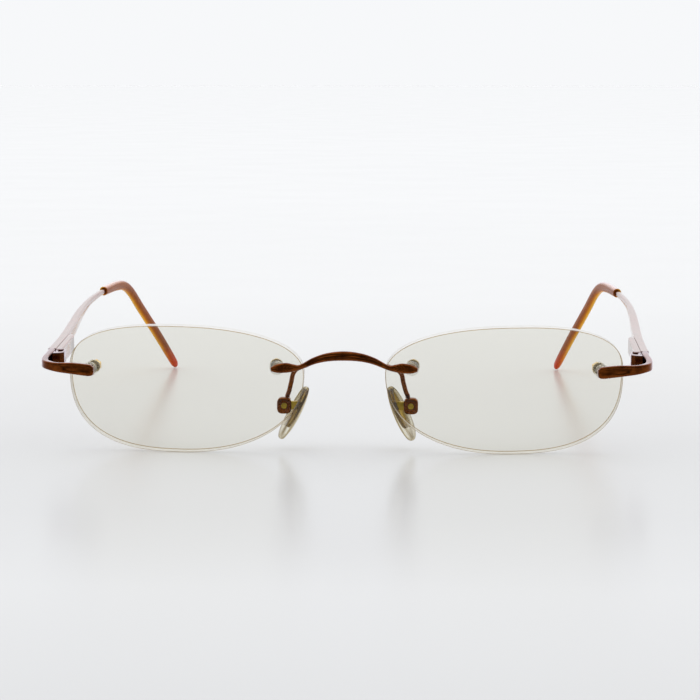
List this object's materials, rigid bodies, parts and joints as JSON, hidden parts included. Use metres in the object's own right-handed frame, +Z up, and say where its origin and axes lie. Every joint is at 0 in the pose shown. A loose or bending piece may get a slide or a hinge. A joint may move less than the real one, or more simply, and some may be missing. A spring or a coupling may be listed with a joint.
{
  "type": "rimless eyeglasses",
  "caption": "Rimless drill-mounted eyeglasses with tinted oval-rectangular lenses, arched metal bridge, rocking silicone nose pads and temples on sprung hinges.",
  "frame": {"origin": "centre of the footprint, on the surface that the lens edges and temple tips stand on", "axes": "+X to the wearer's left, +Y back along the temples, +Z up"},
  "size_m": [0.1348, 0.1423, 0.0281],
  "materials": {
    "copper": "dark copper-brown plating, satin with fine engraving",
    "brass": "turned brass, bright",
    "steel": "spring steel, polished",
    "tinted_lens": "polished plastic lens, light warm grey tint, finely ground edge",
    "clear_nylon": "clear nylon, slightly milky",
    "clear_silicone": "soft clear silicone, smooth",
    "tortoise": "translucent amber tortoise acetate, polished"
  },
  "bodies": {
    "front": {"bridge": "copper", "right_lens": "tinted_lens", "right_outer_stud": "brass", "right_outer_bush": "clear_nylon", "right_outer_washer": "clear_nylon", "right_outer_plate": "brass", "right_outer_nut": "brass", "right_nasal_stud": "brass", "right_nasal_bush": "clear_nylon", "right_nasal_washer": "clear_nylon", "right_nasal_plate": "brass", "right_nasal_nut": "brass", "right_endpiece": "copper", "right_hinge_leaf": "copper", "right_pad_arm": "copper", "right_pad_box": "copper", "right_pad_screw": "brass", "left_lens": "tinted_lens", "left_outer_stud": "brass", "left_outer_bush": "clear_nylon", "left_outer_washer": "clear_nylon", "left_outer_plate": "brass", "left_outer_nut": "brass", "left_nasal_stud": "brass", "left_nasal_bush": "clear_nylon", "left_nasal_washer": "clear_nylon", "left_nasal_plate": "brass", "left_nasal_nut": "brass", "left_endpiece": "copper", "left_hinge_leaf": "copper", "left_pad_arm": "copper", "left_pad_box": "copper", "left_pad_screw": "brass"},
    "right_hinge_pin": {"right_hinge_screw": "brass"},
    "right_slider": {"right_hinge_slider": "steel", "right_spring": "steel", "right_spring_stop": "brass"},
    "right_temple": {"right_temple": "copper", "right_temple_tip": "tortoise", "right_spring_housing": "copper", "right_housing_collar": "brass"},
    "right_pad": {"right_pad_insert": "brass", "right_pad_cushion": "clear_silicone"},
    "left_hinge_pin": {"left_hinge_screw": "brass"},
    "left_slider": {"left_hinge_slider": "steel", "left_spring": "steel", "left_spring_stop": "brass"},
    "left_temple": {"left_temple": "copper", "left_temple_tip": "tortoise", "left_spring_housing": "copper", "left_housing_collar": "brass"},
    "left_pad": {"left_pad_insert": "brass", "left_pad_cushion": "clear_silicone"}
  },
  "joints": [
    {"name": "right_flex", "type": "hinge", "parent": "front", "child": "right_hinge_pin", "pos_m": [-0.0629, -0.0556, 0.01915], "axis": [0, 0.0698, -0.9976], "range_deg": [-12, 0]},
    {"name": "right_fold", "type": "hinge", "parent": "right_hinge_pin", "child": "right_slider", "pos_m": [-0.0629, -0.0556, 0.01915], "axis": [0, 0.0698, -0.9976], "range_deg": [0, 74]},
    {"name": "right_spring_slide", "type": "slide", "parent": "right_slider", "child": "right_temple", "axis": [0, 0.9976, 0.0698], "range_m": [0, 0.0007], "stiffness_N_per_m": 1500, "springref_m": -0.002, "deforming": ["right_spring"]},
    {"name": "right_pad_rock", "type": "hinge", "parent": "front", "child": "right_pad", "pos_m": [-0.0133, -0.0612, 0.00985], "axis": [0, 1, 0], "range_deg": [-8, 8]},
    {"name": "left_flex", "type": "hinge", "parent": "front", "child": "left_hinge_pin", "pos_m": [0.0629, -0.0556, 0.01915], "axis": [0, -0.0698, 0.9976], "range_deg": [-12, 0]},
    {"name": "left_fold", "type": "hinge", "parent": "left_hinge_pin", "child": "left_slider", "pos_m": [0.0629, -0.0556, 0.01915], "axis": [0, -0.0698, 0.9976], "range_deg": [0, 88]},
    {"name": "left_spring_slide", "type": "slide", "parent": "left_slider", "child": "left_temple", "axis": [0, 0.9976, 0.0698], "range_m": [0, 0.0007], "stiffness_N_per_m": 1500, "springref_m": -0.002, "deforming": ["left_spring"]},
    {"name": "left_pad_rock", "type": "hinge", "parent": "front", "child": "left_pad", "pos_m": [0.01415, -0.0612, 0.00985], "axis": [0, 1, 0], "range_deg": [-8, 8]}
  ],
  "couplings": [
    {"joint": "right_spring_slide", "follows": "right_flex", "m_per_rad": -0.0031},
    {"joint": "left_spring_slide", "follows": "left_flex", "m_per_rad": -0.0031}
  ]
}
